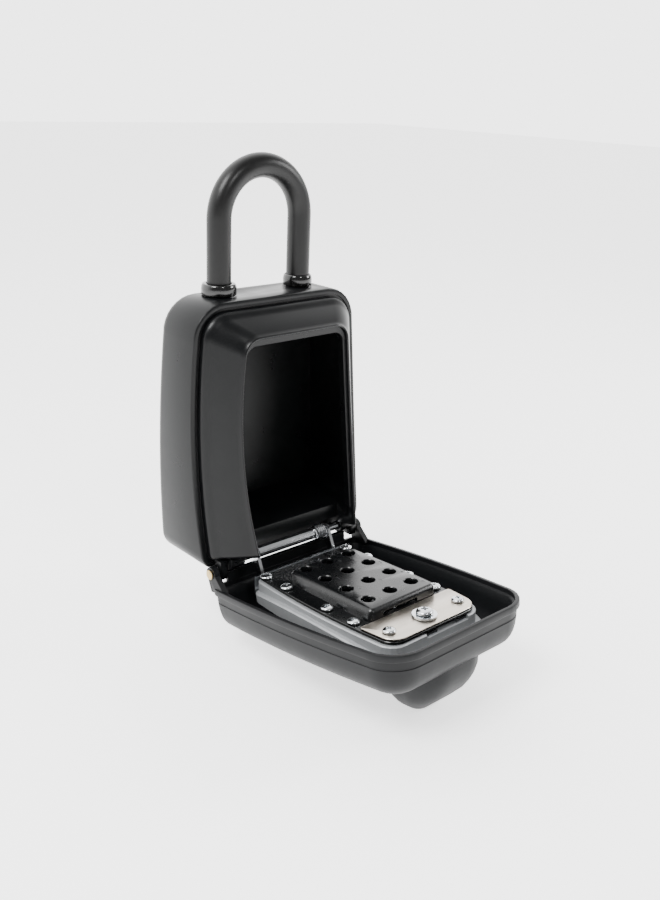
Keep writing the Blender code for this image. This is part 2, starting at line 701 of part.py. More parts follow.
def buttons(door, black):
    """Twelve push buttons; each stem shows its slotted end in the cover's hole."""
    mesh = None
    low = FACE - KEY_PROUD
    seat = FACE + FACE_T + GAP
    profile = [(KEY_R - 0.0010, low - 0.0002), (KEY_R - 0.0003, low), (KEY_R, low + 0.0006),
               (KEY_R, seat), (KEY_FLANGE_R, seat), (KEY_FLANGE_R, seat + KEY_FLANGE_T),
               (KEY_STEM_R, seat + KEY_FLANGE_T), (KEY_STEM_R, BOX_TOP - KEY_SUNK)]
    for name, x, z in key_places():
        if mesh is None:
            bm = bmesh.new()
            turned(bm, profile, "Y", (0.0, 0.0, 0.0), 12)
            made = finish("button_" + name, bm, black, door)
            mesh = made.data
        else:
            made = bpy.data.objects.new("button_" + name, mesh)
            made.parent = door
            bpy.context.scene.collection.objects.link(made)
        made.location = (x, 0.0, z)


def lock_slide(door, steel):
    """Slotted code plate that the stems pass through; it moves with the knob."""
    bm = bmesh.new()
    shape = outline(SLIDE_HALF, 0.0, 0.0, SLIDE_LOW, SLIDE_HIGH, 0.001, 0.001)
    loft(bm, [ring(shape, SLIDE_Y), ring(shape, SLIDE_Y + 0.001)])
    made = finish("lock_slide", bm, steel, door)
    slots = bmesh.new()
    for _, x, z in key_places():
        reach = KEY_STEM_R + RUN
        box(slots, (x - reach, x + reach), (SLIDE_Y - 0.001, SLIDE_Y + 0.002),
            (z - reach - SLIDE_TRAVEL, z + reach))
    cut(made, "code_slots", slots)
    return made


def latch_plate(door, steel):
    """Two tongues on a cross bar; they leave the end wall's slot when locked."""
    bm = bmesh.new()
    low, high = LATCH_Y - LATCH_T / 2, LATCH_Y + LATCH_T / 2
    back = SLIDE_HIGH - 0.0022
    first, second = TONGUES
    box(bm, (first[0] - first[1], second[0] + second[1]), (low, high), (back, back + 0.0045))
    made = finish("latch_plate", bm, steel, door)
    tongues = bmesh.new()
    for x, half in TONGUES:
        box(tongues, (x - half, x + half), (low, high), (back + 0.001, PLUG_HIGH - 0.0006))
    cut(made, "latch_tongues", tongues, "UNION")
    window = bmesh.new()
    turned(window, ((SHAFT_R + RUN, low - 0.001), (SHAFT_R + RUN, high + 0.001)), "Y",
           (0.0, 0.0, KNOB_Z), 14)
    turned(window, ((SHAFT_R + RUN, low - 0.001), (SHAFT_R + RUN, high + 0.001)), "Y",
           (0.0, 0.0, KNOB_Z - SLIDE_TRAVEL), 14)
    box(window, (-SHAFT_R - RUN, SHAFT_R + RUN), (low - 0.001, high + 0.001),
        (KNOB_Z - SLIDE_TRAVEL, KNOB_Z))
    cut(made, "latch_window", window)
    return made


def knob(door, black, steel):
    """Turn knob outside, its shaft through the door, washer and screw inside."""
    place = (0.0, 0.0, KNOB_Z)
    bm = bmesh.new()
    base = FACE - GAP
    top = PLATE_TOP + GAP
    turned(bm, ((KNOB_R - 0.0006, base - KNOB_SKIRT - 0.0006), (KNOB_R, base - KNOB_SKIRT),
                (KNOB_R, base),
                (SHAFT_R, base), (SHAFT_R, top - GAP)), "Y", place, 24)
    made = finish("opening_knob", bm, black, door, place)
    wing = bmesh.new()
    shape, small = (outline(WING_HALF, 0.0, 0.0, KNOB_Z - KNOB_R - 0.001,
                            KNOB_Z + KNOB_R + 0.001, WING_HALF - 0.0002, WING_HALF - 0.0002,
                            inset) for inset in (0.0, 0.0007))
    loft(wing, [ring(shape, base - KNOB_SKIRT + 0.0004), ring(shape, base - KNOB_HIGH + 0.0008),
                ring(small, base - KNOB_HIGH)])
    cut(made, "knob_wing", wing, "UNION")
    bm = bmesh.new()
    tube_ring(bm, KNOB_WASHER_R, 0.0012 + RUN, top, top + KNOB_WASHER_T, "Y", place, 20)
    finish("knob_washer", bm, steel, door, place)
    bm = bmesh.new()
    seat = top + KNOB_WASHER_T + GAP
    head, rise = KNOB_SCREW_R, KNOB_SCREW_RISE
    turned(bm, ((0.0012, top - 0.0002), (0.0012, seat), (head, seat),
                (head, seat + 0.35 * rise), (0.86 * head, seat + 0.78 * rise),
                (0.5 * head, seat + rise)), "Y", place, 16)
    finish("knob_screw", bm, steel, door, place)


def clear_slide(door, black):
    """Small slide on the outer face that clears a half-entered code."""
    bm = bmesh.new()
    place = (CLEAR_X, 0.0, CLEAR_Z)
    box(bm, (CLEAR_X - CLEAR_HALF + RUN, CLEAR_X + CLEAR_HALF - RUN),
        (FACE - CLEAR_PROUD, FACE + CLEAR_T), (CLEAR_Z - 0.0010, CLEAR_Z + CLEAR_BACK - RUN))
    bmesh.ops.bevel(bm, geom=[e for e in bm.edges], offset=0.0003, segments=1,
                    affect="EDGES", profile=0.5)
    return finish("clear_slide", bm, black, door, place)


# ---------------------------------------------------------------- weather cover
def weather_cover(parent, rubber):
    bm = bmesh.new()
    rim, outside = HOOD_RIM, HOOD_RIM - HOOD_DEEP

    def at(depth):
        return rim - depth

    wall = HOOD_WALL
    rings = [ring(hood_line(wall + 0.0100), outside + wall),
             ring(hood_line(wall + 0.0060), at(0.0162)),
             ring(hood_line(wall + 0.0032), at(0.0135)),
             ring(hood_line(wall + 0.0020), at(0.0105)),
             ring(hood_line(wall + HOOD_LIP), at(HOOD_LIP_HIGH)),
             ring(hood_line(wall), at(HOOD_LIP_HIGH - 0.0008)),
             ring(hood_line(wall), rim), ring(hood_line(0.0004), rim),
             ring(hood_line(0.0), at(0.0005)), ring(hood_line(0.0), at(HOOD_LIP_HIGH)),
             ring(hood_line(HOOD_LIP), at(HOOD_LIP_HIGH + 0.0003)),
             ring(hood_line(HOOD_LIP + 0.0008), at(0.0105)),
             ring(hood_line(HOOD_LIP + 0.0022), at(0.0145)),
             ring(hood_line(HOOD_LIP + 0.0050), at(0.0176)),
             ring(hood_line(HOOD_LIP + 0.0090), outside)]
    loft(bm, rings)
    cover = finish("weather_cover", bm, rubber, parent)

    def nose(depth, low, high, half, thick=0.0):
        corner = 0.75 * min(half, (high - low) / 2)
        shape = outline(half, 0.0, 0.0, low, high, corner, corner, thick)
        return ring(shape, at(depth))

    bulge = bmesh.new()
    loft(bulge, [nose(*level) for level in NOSE])
    cut(cover, "nose", bulge, "UNION")
    hollow = bmesh.new()
    inside = [nose(depth - HOOD_WALL * (depth > HOOD_DEEP), low, high, half, HOOD_WALL)
              for depth, low, high, half in NOSE]
    loft(hollow, inside)
    cut(cover, "nose_hollow", hollow)
    ears = bmesh.new()
    box(ears, (-APRON_HALF, APRON_HALF), (rim - 0.002, APRON_TOP), (APRON_LOW, APRON_HIGH))
    for sign in (-1, 1):
        near, far = sorted((sign * HOOD_EAR, sign * (HOOD_EAR + HOOD_EAR_T)))
        turns = [math.radians(t) for t in range(-80, 101, 20)]
        profile = [(HOOD_EAR_R * math.cos(a), HOOD_EAR_R * math.sin(a)) for a in turns]
        profile += [(rim - 0.0010, 0.0085), (rim - 0.0020, 0.0070), (rim - 0.0020, -0.0005)]
        loft(ears, [[(x, y, z) for y, z in profile] for x in (near, far)])
    cut(cover, "hinge_ears_of_cover", ears, "UNION")
    bores = bmesh.new()
    reach = HOOD_EAR + HOOD_EAR_T + 0.005
    turned(bores, [(HOOD_PIN_R + RUN, x) for x in (-reach, reach)], "X", (0, 0, 0), 12)
    cut(cover, "cover_ear_bores", bores)
    return cover


def cover_pins(case, brass):
    for side, sign in (("left", -1), ("right", 1)):
        bm = bmesh.new()
        place = (0.0, HOOD_Y, HOOD_Z)
        start, end = LUG_IN + 0.0013, HOOD_EAR + HOOD_EAR_T + GAP
        turned(bm, ((HOOD_PIN_R, sign * start), (HOOD_PIN_R, sign * end),
                    (HOOD_HEAD_R, sign * end), (HOOD_HEAD_R, sign * (end + 0.0005)),
                    (HOOD_PIN_R, sign * (end + 0.0009))), "X", place, 12)
        finish("cover_pin_" + side, bm, brass, case, place)


def main():
    clear_scene()
    paint = material("powder_coat_black", (0.018, 0.019, 0.021), 0.42, 0.0)
    coat = material("vinyl_black", (0.016, 0.016, 0.017), 0.45, 0.0)
    gloss = material("gloss_rubber", (0.010, 0.010, 0.011), 0.22, 0.0)
    zinc = material("cast_zinc", (0.42, 0.42, 0.42), 0.42, 0.9)
    steel = material("zinc_plated_steel", (0.70, 0.70, 0.69), 0.28, 1.0)
    plate = material("nickel_sheet", (0.62, 0.58, 0.53), 0.34, 1.0)
    black = material("black_moulding", (0.014, 0.014, 0.015), 0.34, 0.0)
    rubber = material("soft_touch_black", (0.030, 0.031, 0.033), 0.55, 0.0)
    brass = material("brass", (0.66, 0.55, 0.36), 0.35, 1.0)
    spring_steel = material("spring_steel", (0.55, 0.55, 0.56), 0.30, 1.0)

    case = empty("case_frame", (0.0, -SHACKLE_Y, -HANG_Z))
    door = empty("door_frame", (0.0, PIVOT_Y, PIVOT_Z), case, DOOR_OPEN)
    hood = empty("cover_frame", (0.0, HOOD_Y, HOOD_Z), case, HOOD_OPEN)

    case_body(case, paint)
    strike_plate(case, steel)
    shackle(case, coat)
    shackle_collar("left", -1, case, gloss)
    shackle_collar("right", 1, case, gloss)
    hinge_pieces(case, door, steel, spring_steel)
    door_housing(door, zinc)
    mechanism_cover(door, black)
    end_plate(door, plate)
    screws(door, steel)
    buttons(door, black)
    lock_slide(door, steel)
    latch_plate(door, steel)
    knob(door, black, steel)
    clear_slide(door, black)
    weather_cover(hood, rubber)
    cover_pins(case, brass)


main()
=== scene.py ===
# %% [markdown]
# # A push-button key safe, standing open
#
# A die-cast case hangs from a vinyl-coated shackle. Its lock door and its soft
# weather cover have swung down on their hinges, so the key cavity and the back of
# the button mechanism show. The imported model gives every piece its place, and this
# script gives the pieces their finer shapes, their finishes and the studio.

# %% Load the frame
import json
import math

import bmesh
import bpy
from mathutils import Matrix, Vector, kdtree


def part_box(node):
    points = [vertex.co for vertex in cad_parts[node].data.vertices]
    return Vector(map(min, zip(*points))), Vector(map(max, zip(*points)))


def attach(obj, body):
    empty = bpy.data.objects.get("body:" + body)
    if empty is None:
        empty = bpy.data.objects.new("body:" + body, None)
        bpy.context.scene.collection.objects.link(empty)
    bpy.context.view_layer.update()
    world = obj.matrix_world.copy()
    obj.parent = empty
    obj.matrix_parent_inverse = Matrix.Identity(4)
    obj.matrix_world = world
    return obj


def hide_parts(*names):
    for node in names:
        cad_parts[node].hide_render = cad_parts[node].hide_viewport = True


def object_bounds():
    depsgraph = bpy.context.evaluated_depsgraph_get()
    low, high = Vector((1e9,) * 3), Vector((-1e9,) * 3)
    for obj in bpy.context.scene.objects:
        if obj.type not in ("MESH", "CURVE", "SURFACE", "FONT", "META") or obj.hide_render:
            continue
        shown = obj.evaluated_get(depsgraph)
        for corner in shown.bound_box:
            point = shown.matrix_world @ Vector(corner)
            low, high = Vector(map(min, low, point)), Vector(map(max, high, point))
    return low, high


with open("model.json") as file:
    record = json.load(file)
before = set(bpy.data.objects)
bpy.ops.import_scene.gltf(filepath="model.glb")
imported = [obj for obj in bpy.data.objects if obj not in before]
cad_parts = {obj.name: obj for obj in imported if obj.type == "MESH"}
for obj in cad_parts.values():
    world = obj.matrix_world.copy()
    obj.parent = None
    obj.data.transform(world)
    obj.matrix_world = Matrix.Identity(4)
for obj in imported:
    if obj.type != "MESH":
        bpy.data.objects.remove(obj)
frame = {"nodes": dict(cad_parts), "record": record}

cad_low, cad_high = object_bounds()
print("nodes:", len(frame["nodes"]), "size:", [round(v, 4) for v in cad_high - cad_low])

# %% [markdown]
# ## Where things are
#
# The object's origin is where the safe hangs, under the shackle's crown. It is easier
# to think of the case from its own base and of the door from its own hinge, so two
# small functions turn those local points into the object's frame. The hinge lines are
# read from the frame's joints.

# %% The case's and the door's own coordinates
MM = 0.001
joint = {j["name"]: j for j in frame["record"]["behaviour"]["joints"]}
CASE_ZERO = Vector((0.0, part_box("shackle")[0].y + 5 * MM - 16 * MM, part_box("case_body")[1].z - 102.8 * MM))


def tilted(hinge, degrees):
    """The frame of a panel that stands at this angle on its hinge line."""
    turn = Matrix.Rotation(math.radians(degrees), 4, "X")
    return Matrix.Translation(Vector(joint[hinge]["pos_m"])) @ turn


in_case = Matrix.Translation(CASE_ZERO)
in_door = tilted("door_hinge", 86.5)
in_cover = tilted("cover_hinge", 82.25)
print("case base at", [round(v, 4) for v in CASE_ZERO])

# %% [markdown]
# ## Selecting, and drawing a form out of one face
#
# Castings and mouldings like these are stacks of rounded outlines. Each is modelled as
# by hand: a filled circle is laid on the first outline, and its one face is extruded
# from outline to outline, round the lip, down the inside and to the floor. The face
# that travels is always the only selected one, and its corners are set on each new
# outline in turn.

# %% The outline of a panel with bowed sides
CORNER = 8
SIDE = 14


def outline(shape, inset=0.0):
    """Points of a bowed outline in X and Z. All sizes are in millimetres."""
    half, bow, wide, low, high, r_low, r_high = shape
    half, low, high = half - inset, low + inset, high - inset
    r_low, r_high = max(r_low - inset, 0.8), max(r_high - inset, 0.8)

    def side(z):
        return half - bow * (z - wide) ** 2 / 1000

    points = []
    for i in range(CORNER + 1):
        turn = math.pi / 2 * i / CORNER
        points.append((side(low + r_low) - r_low * (1 - math.sin(turn)),
                       low + r_low * (1 - math.cos(turn))))
    for i in range(1, SIDE):
        z = low + r_low + (high - r_high - low - r_low) * i / SIDE
        points.append((side(z), z))
    for i in range(CORNER + 1):
        turn = math.pi / 2 * i / CORNER
        points.append((side(high - r_high) - r_high * (1 - math.cos(turn)),
                       high - r_high * (1 - math.sin(turn))))
    return points + [(-x, z) for x, z in reversed(points)]


def ring(points, depth):
    """An outline given its Y, a number or a function of Z, in millimetres."""
    if callable(depth):
        return [Vector((x, depth(z), z)) for x, z in points]
    return [Vector((x, depth, z)) for x, z in points]


def turned(profile, axis, centre=(0.0, 0.0, 0.0), steps=40):
    """Circles of these (radius, along) pairs round an axis through a centre."""
    rings = []
    for radius, along in profile:
        points = []
        for i in range(steps):
            turn = 2 * math.pi * i / steps
            c, s = radius * math.cos(turn), radius * math.sin(turn)
            spot = {"X": (along, c, s), "Y": (c, along, s), "Z": (c, s, along)}[axis]
            points.append(Vector(spot) + Vector(centre))
        rings.append(points)
    return rings


# %% Drawing a form, cutting it and finishing it
def alone(piece=None):
    """Nothing stays selected but this piece."""
    if bpy.context.object and bpy.context.object.mode != "OBJECT":
        bpy.ops.object.mode_set(mode="OBJECT")
    bpy.ops.object.select_all(action="DESELECT")
    if piece:
        piece.select_set(True)
        bpy.context.view_layer.objects.active = piece


def set_ring(piece, before, after):
    """Move the selected corners, which lie on one outline, to the next."""
    tree = kdtree.KDTree(len(before))
    for i, point in enumerate(before):
        tree.insert(point, i)
    tree.balance()
    mesh = bmesh.from_edit_mesh(piece.data)
    for corner in mesh.verts:
        if corner.select:
            corner.co = after[tree.find(corner.co)[1]]
    bmesh.update_edit_mesh(piece.data)


def drawn(name, rings, place):
    """One face drawn through all the rings and left as the closing face."""
    rings = [[place @ (point * MM) for point in points] for points in rings]
    count = len(rings[0])
    alone()
    bpy.ops.mesh.primitive_circle_add(vertices=count, radius=1.0, fill_type="NGON")
    piece = bpy.context.object
    piece.name = piece.data.name = name
    circle = [v.co.copy() for v in piece.data.vertices]
    bpy.ops.object.mode_set(mode="EDIT")
    bpy.ops.mesh.select_all(action="SELECT")
    set_ring(piece, circle, rings[0])
    for before, after in zip(rings, rings[1:]):
        bpy.ops.mesh.extrude_region_move()
        set_ring(piece, before, after)
    bpy.ops.mesh.select_all(action="SELECT")
    bpy.ops.mesh.normals_make_consistent(inside=False)
    bpy.ops.object.mode_set(mode="OBJECT")
    return piece


def boolean(piece, tool, operation="DIFFERENCE"):
    """Cut or join one piece with another, and remove the tool."""
    alone(piece)
    step = piece.modifiers.new("cut", "BOOLEAN")
    step.operation = operation
    step.solver = "EXACT"
    step.object = tool
    bpy.ops.object.modifier_apply(modifier=step.name)
    bpy.data.objects.remove(tool, do_unlink=True)


def block(name, x, y, z, place):
    """A plain block between two corners, used as a cutter."""
    corners = [Vector((a, y[0], b)) for a, b in ((x[0], z[0]), (x[1], z[0]), (x[1], z[1]), (x[0], z[1]))]
    return drawn(name, [corners, [Vector((c.x, y[1], c.z)) for c in corners]], place)


def together(tools):
    """Join cutters that don't touch, so that they cut in one step."""
    alone(tools[0])
    for tool in tools:
        tool.select_set(True)
    bpy.ops.object.join()
    return tools[0]


def done(piece, material, body, *nodes, angle=35.0, soften=0.0):
    """Round the sharp edges, shade it, dress it, and let it ride and stand in."""
    alone(piece)
    if soften:
        step = piece.modifiers.new("soft edges", "BEVEL")
        step.width = soften * MM
        step.segments = 2
        step.limit_method = "ANGLE"
        step.angle_limit = math.radians(40.0)
        bpy.ops.object.modifier_apply(modifier=step.name)
    bpy.ops.object.shade_smooth_by_angle(angle=math.radians(angle))
    piece.data.materials.clear()
    piece.data.materials.append(material)
    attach(piece, body)
    if nodes:
        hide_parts(*nodes)
    print(piece.name, len(piece.data.polygons), "faces")
    return piece


# %% [markdown]
# ## Finishes
#
# Every finish is a Principled shader whose colour, roughness and bump vary with
# procedural noise in the object's own coordinates. The grain size of each is a real
# one: powder coat levels into a skin with waves about a millimetre across, a tumbled
# zinc casting is finely pitted, and rolled sheet has streaks along the rolling.

# %% Colour and node helpers
def linear(code):
    """sRGB hex to a linear colour."""
    parts = [int(code[i:i + 2], 16) / 255 for i in (0, 2, 4)]
    return tuple(c / 12.92 if c <= 0.04045 else ((c + 0.055) / 1.055) ** 2.4 for c in parts) + (1.0,)


def add(tree, kind, settings=None, links=None):
    """Add a node, with its settings and the sockets that feed it."""
    made = tree.nodes.new(kind)
    for key, value in (settings or {}).items():
        if key in made.inputs:
            made.inputs[key].default_value = value
        else:
            setattr(made, key, value)
    for key, source in (links or {}).items():
        tree.links.new(source, made.inputs[key])
    return made


def finish_of(name, base, other, roughness, spread, grain, depth, patch, metallic=0.0,
              stretch=(1.0, 1.0, 1.0), coat=0.0, shine=0.5):
    """A surface with patches of two colours and a fine grain. Sizes are in millimetres."""
    made = bpy.data.materials.new(name)
    made.use_nodes = True
    tree = made.node_tree
    shader = tree.nodes["Principled BSDF"]
    shader.inputs["Metallic"].default_value = metallic
    shader.inputs["Coat Weight"].default_value = coat
    shader.inputs["Specular IOR Level"].default_value = shine
    place = add(tree, "ShaderNodeTexCoord").outputs["Object"]
    along = add(tree, "ShaderNodeMapping", {"Scale": stretch}, {"Vector": place}).outputs["Vector"]
    patches = add(tree, "ShaderNodeTexNoise", {"Scale": 1000 / patch, "Detail": 4.0, "Roughness": 0.6},
                  {"Vector": along}).outputs["Fac"]
    colour = add(tree, "ShaderNodeMix", {"data_type": "RGBA"}, {"Factor": patches})
    colour.inputs[6].default_value = linear(base)
    colour.inputs[7].default_value = linear(other)
    tree.links.new(colour.outputs[2], shader.inputs["Base Color"])
    rough = add(tree, "ShaderNodeMapRange", {"From Min": 0.3, "From Max": 0.7,
                                             "To Min": roughness - spread, "To Max": roughness + spread},
                {"Value": patches}).outputs["Result"]
    tree.links.new(rough, shader.inputs["Roughness"])
    fine = add(tree, "ShaderNodeTexNoise", {"Scale": 1000 / grain, "Detail": 3.0}, {"Vector": along})
    bump = add(tree, "ShaderNodeBump", {"Strength": 0.6, "Distance": depth * MM},
               {"Height": fine.outputs["Fac"]})
    tree.links.new(bump.outputs["Normal"], shader.inputs["Normal"])
    return made


# %% The finishes of this safe
# Powder coat on zinc: a satin skin with a faint orange peel.
powder_coat = finish_of("powder_coated_zinc", "050607", "0a0b0c", 0.31, 0.04, 0.9, 0.006, 9.0, shine=0.22)
# Dipped vinyl on the shackle: thicker, softer and a little duller than the paint.
dipped_vinyl = finish_of("dipped_vinyl", "080808", "0d0d0d", 0.36, 0.05, 0.7, 0.008, 12.0, shine=0.28)
# Moulded rubber seals round the legs: wet-looking black.
seal_rubber = finish_of("moulded_seal_rubber", "040404", "080808", 0.17, 0.04, 0.5, 0.003, 6.0, coat=0.2)
# As-cast zinc, tumbled: light grey, matt and finely pitted.
cast_zinc = finish_of("tumbled_cast_zinc", "9fa1a3", "8d8f91", 0.50, 0.07, 0.35, 0.006, 5.0, metallic=0.4)
# Glass-filled nylon moulding: near-black, smooth, with a faint spark-eroded texture.
moulded_nylon = finish_of("moulded_nylon", "060708", "0a0b0c", 0.27, 0.03, 0.45, 0.002, 7.0, shine=0.4)
# Nickel-plated sheet: warm grey with streaks along the rolling direction.
rolled_nickel = finish_of("rolled_nickel_sheet", "c9c1b6", "b3aba1", 0.32, 0.06, 0.5, 0.002, 3.0,
                          metallic=1.0, stretch=(0.12, 1.0, 1.0))
# Zinc-plated screws and hinge parts: bright, bluish and a little cloudy.
zinc_plate = finish_of("zinc_plated_steel", "dcdee0", "c2c5c8", 0.18, 0.05, 0.8, 0.001, 2.5, metallic=1.0)
# Thermoplastic rubber skin: dark grey and soft to the touch.
soft_skin = finish_of("moulded_soft_rubber", "0a0b0c", "101113", 0.46, 0.04, 0.5, 0.006, 10.0, shine=0.2)
turned_brass = finish_of("turned_brass", "c9b386", "b59d6d", 0.30, 0.06, 0.5, 0.002, 2.0, metallic=1.0)
spring_wire = finish_of("drawn_spring_wire", "b9bbbd", "999b9e", 0.28, 0.06, 0.3, 0.001, 1.5, metallic=1.0)
# Pad-printed numerals, and moulded numbers that are the moulding's own black, painted a lighter grey as a
# sheen where their raised faces catch the light.
printed_white = finish_of("pad_printed_ink", "d8d8d4", "c6c6c2", 0.45, 0.04, 0.3, 0.003, 2.0)
numbers_painted_sheen = finish_of("moulded_numbers_painted_sheen", "2c2d2f", "38393b", 0.35, 0.04, 0.3, 0.002, 2.0)

SLOT_FINISH = {"case_paint": powder_coat, "shackle_vinyl": dipped_vinyl, "collar_rubber": seal_rubber,
               "cast_zinc": cast_zinc, "black_moulding": moulded_nylon, "nickel_sheet": rolled_nickel,
               "plated_steel": zinc_plate, "soft_rubber": soft_skin, "brass_pin": turned_brass,
               "spring_steel": spring_wire}
for part in frame["record"]["subparts"]:
    node = frame["nodes"][part["node"]]
    node.data.materials.clear()
    node.data.materials.append(SLOT_FINISH[part["material_slot"]])
print(len(SLOT_FINISH), "finishes on", len(frame["nodes"]), "nodes")

# %% [markdown]
# ## The die-cast case
#
# The case is a zinc casting: a deep box with a flat back, a raised lip with a groove
# inside it, and a bezel that slopes forward to the thin rim of the mouth. It is drawn
# from the back to the lip, over the bezel and down into the cavity, and the hinge
# recess, the bores and the notch for the latch are then cut as a tool would cut them.

# %% The outlines and curves of the front
CASE = (45.2, 0.85, 30.0, -8.0, 102.8, 8.0, 15.0)
RIM = (30.3, 1.42, 42.3, 0.0, 90.9, 2.0, 8.0)
MOUTH = (28.3, 1.42, 42.3, 2.0, 86.9, 2.0, 5.5)
CAVITY = (38.0, 0.85, 30.0, 7.0, 89.5, 5.0, 5.0)
PIVOT = (0.0, -9.2, -4.4)
COVER_PIVOT = (0.0, -7.5, -8.5)


def on_seam(by):
    """A front edge this far behind the curve of the seam."""
    return lambda z: 2.7 - min(z - 85.0, 0.0) ** 2 / 1000 + by


def on_rim(by):
    """An edge this far behind the curve of the rim."""
    return lambda z: -11.2 - 1.68 * min(z - 80.0, 0.0) ** 2 / 1000 + by


# %% Draw the case from its back to its cavity
rings = []
for i in range(9):
    turn = math.pi / 2 * i / 8
    rings.append(ring(outline(CASE, 5.0 * (1 - math.sin(turn))), 28.0 - 5.0 * (1 - math.cos(turn))))
for inset, by in ((0.0, 0.7), (0.2, 0.2), (0.6, 0.0), (2.2, 0.0), (2.2, 0.9), (3.6, 0.9), (3.6, -1.0),
                  (3.8, -1.7), (4.3, -2.4), (4.9, -3.1), (5.6, -3.6)):
    rings.append(ring(outline(CASE, inset), on_seam(by)))
start, end = rings[-1], ring(outline(RIM), on_rim(0.7))
for i in range(1, 8):
    swell = Vector((0.0, -0.35 * math.sin(math.pi * i / 8), 0.0))
    rings.append([a.lerp(b, i / 8) + swell for a, b in zip(start, end)])
rings.append(end)
for inset, by in ((0.1, 0.35), (0.3, 0.1), (0.6, 0.0), (0.9, 0.1), (1.1, 0.35), (1.2, 0.8), (1.2, 1.7)):
    rings.append(ring(outline(RIM, inset), on_rim(by)))
rings += [ring(outline(MOUTH, -0.2), on_rim(1.7)), ring(outline(MOUTH), on_rim(1.75)),
          ring(outline(MOUTH, 0.2), on_rim(2.0)), ring(outline(MOUTH, 0.2), on_rim(5.0)),
          ring(outline(CAVITY), on_rim(11.0)), ring(outline(CAVITY), 24.0)]
case = drawn("cast_case", rings, in_case)
print("drawn through", len(rings), "outlines of", len(rings[0]), "corners")

# %% Its lugs and bosses
for sign in (-1, 1):
    near, far = sorted((sign * 35.0, sign * 38.6))
    boolean(case, block("lug", (near, far), (-10.2, -3.7), (-11.2, -3.0), in_case), "UNION")
    boss = turned(((3.3, sign * 27.6), (3.3, sign * 34.5)), "X", PIVOT)
    boolean(case, drawn("boss", boss, in_case), "UNION")

# %% Its recess, bores and notch
recess = ((-50.0, 8.0), (-9.4, 8.0), (-9.4, 0.3), (-3.0, 0.3), (-3.0, -30.0), (-50.0, -30.0))
boolean(case, drawn("recess", [[Vector((x, y, z)) for y, z in recess] for x in (-27.0, 27.0)], in_case))
boolean(case, block("notch", (-8.1, 18.1), (-8.8, -1.5), (83.4, 90.5), in_case))
bores = [drawn("pin_bore", turned(((2.1, -33.3), (2.1, 33.3)), "X", PIVOT), in_case)]
for sign in (-1, 1):
    legs = turned(((5.3, 91.5), (5.3, 120.0)), "Z", (sign * 20.8, 16.0, 0.0))
    bores.append(drawn("leg_bore", legs, in_case))
    relief = turned(((1.5, sign * 36.0), (1.5, sign * 38.9), (3.3, sign * 38.9), (3.3, sign * 50.0)),
                    "X", COVER_PIVOT)
    bores.append(drawn("ear_relief", relief, in_case))
boolean(case, together(bores))
done(case, powder_coat, "case", "case_body", soften=0.18)

# %% [markdown]
# ## The shackle and its seals
#
# The shackle is bent steel rod dipped in vinyl. One face is extruded along the bend,
# so the coat has no seam. Each leg enters the case through a glossy moulded ring, and
# the left one is the larger because that leg's lock is there.

# %% Bend the shackle
path = [(-20.8, 91.8, 4.2), (-20.8, 92.6, 5.0), (-20.8, 112.0, 5.0)]
for i in range(49):
    turn = math.pi * (1 - i / 48)
    path.append((20.8 * math.cos(turn), 132.7 + 20.8 * math.sin(turn), 5.0))
path += [(20.8, 112.0, 5.0), (20.8, 92.6, 5.0), (20.8, 91.8, 4.2)]
rings = []
for k, (x, z, rod) in enumerate(path):
    before, after = path[max(k - 1, 0)], path[min(k + 1, len(path) - 1)]
    along = Vector((after[0] - before[0], 0.0, after[1] - before[1])).normalized()
    across = Vector((-along.z, 0.0, along.x))
    turns = [2 * math.pi * i / 32 for i in range(32)]
    rings.append([Vector((x, 16.0, z)) + across * rod * math.cos(t) + Vector((0.0, rod * math.sin(t), 0.0))
                  for t in turns])
done(drawn("vinyl_dipped_shackle", rings, in_case), dipped_vinyl, "shackle", "shackle")

# %% Mould the two seals
for side, sign, outer in (("left", -1, 7.3), ("right", 1, 6.3)):
    leg = (sign * 20.8, 16.0, 0.0)
    profile = [(outer - 0.2, 103.1), (outer, 103.3), (outer, 105.3)]
    for i in range(1, 7):
        turn = math.pi / 2 * i / 6
        profile.append((outer - 0.9 * (1 - math.cos(turn)), 105.3 + 2.4 * math.sin(turn)))
    seal = drawn("leg_seal_" + side, turned(profile, "Z", leg, 48), in_case)
    boolean(seal, drawn("bore", turned(((5.3, 100.0), (5.3, 110.0)), "Z", leg, 48), in_case))
    done(seal, seal_rubber, "case", "shackle_collar_" + side, soften=0.12)

# %% [markdown]
# ## The weather cover
#
# A soft rubber-like shell that shields the buttons when the safe is shut. It has a
# thick rim, a shallow groove round its side and a hollow nose that clears the knob.
# The shell is drawn from its floor, up the inside, over the rim and down the outside.

# %% Draw the shell
SHELL = (43.1, 0.92, 29.0, -1.5, 104.8, 6.0, 15.0)
LEVELS = ((11.8, 17.7), (9.6, 17.2), (7.8, 16.2), (6.2, 15.0), (5.0, 13.5), (4.3, 12.1), (3.8, 10.5),
          (3.2, 6.5), (2.9, 2.8), (2.6, 2.4), (1.8, 1.9), (1.8, 0.2), (1.6, 0.0), (0.4, 0.0), (0.1, 0.15),
          (0.0, 0.5), (0.0, 2.5), (0.15, 2.75), (0.95, 2.95), (1.05, 3.4), (1.2, 5.8), (1.5, 5.95),
          (1.5, 6.5), (1.25, 6.65), (1.5, 8.6), (1.8, 10.5), (2.35, 12.6), (3.2, 14.5), (4.4, 16.2),
          (6.0, 17.6), (7.9, 18.8), (10.0, 19.5))
shell = drawn("moulded_shell", [ring(outline(SHELL, inset), -5.75 - depth) for inset, depth in LEVELS],
              in_cover)
print("shell drawn through", len(LEVELS), "levels")

